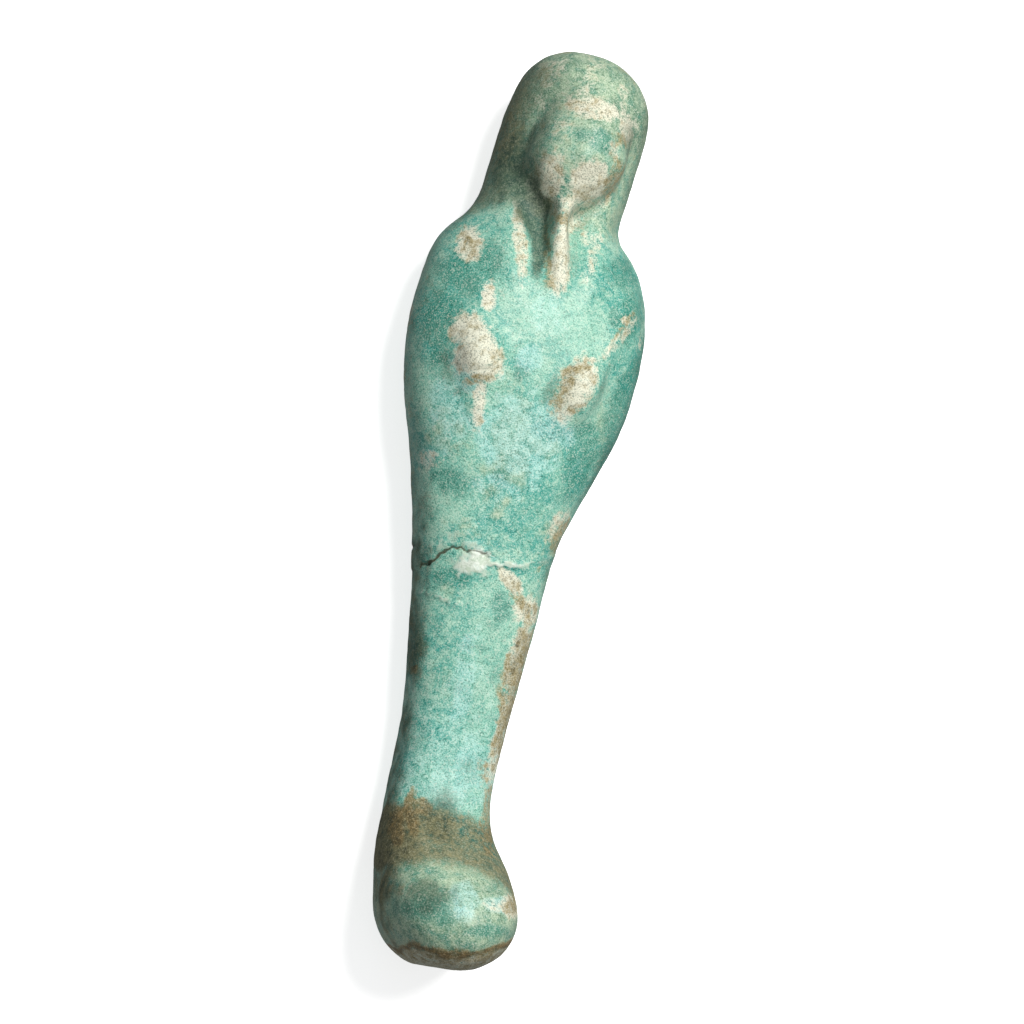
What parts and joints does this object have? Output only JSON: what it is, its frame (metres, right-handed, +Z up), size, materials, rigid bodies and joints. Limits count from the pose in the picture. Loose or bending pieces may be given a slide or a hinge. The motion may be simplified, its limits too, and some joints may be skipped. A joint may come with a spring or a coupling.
{
  "type": "ushabti figurine",
  "caption": "Worn mummiform funerary figurine of glazed faience with a long wig, false beard, fists on the chest, a foot block and a flat back pillar, mended across the legs.",
  "frame": {"origin": "on the surface the figurine lies on, below the middle of its box", "axes": "+Y from the soles to the crown, +Z up, which is towards the figurine's front, +X towards the figurine's own left side"},
  "size_m": [0.0272, 0.105, 0.0213],
  "materials": {
    "faience": "satin"
  },
  "bodies": {
    "root": {"ushabti_figure": "faience"}
  },
  "joints": []
}
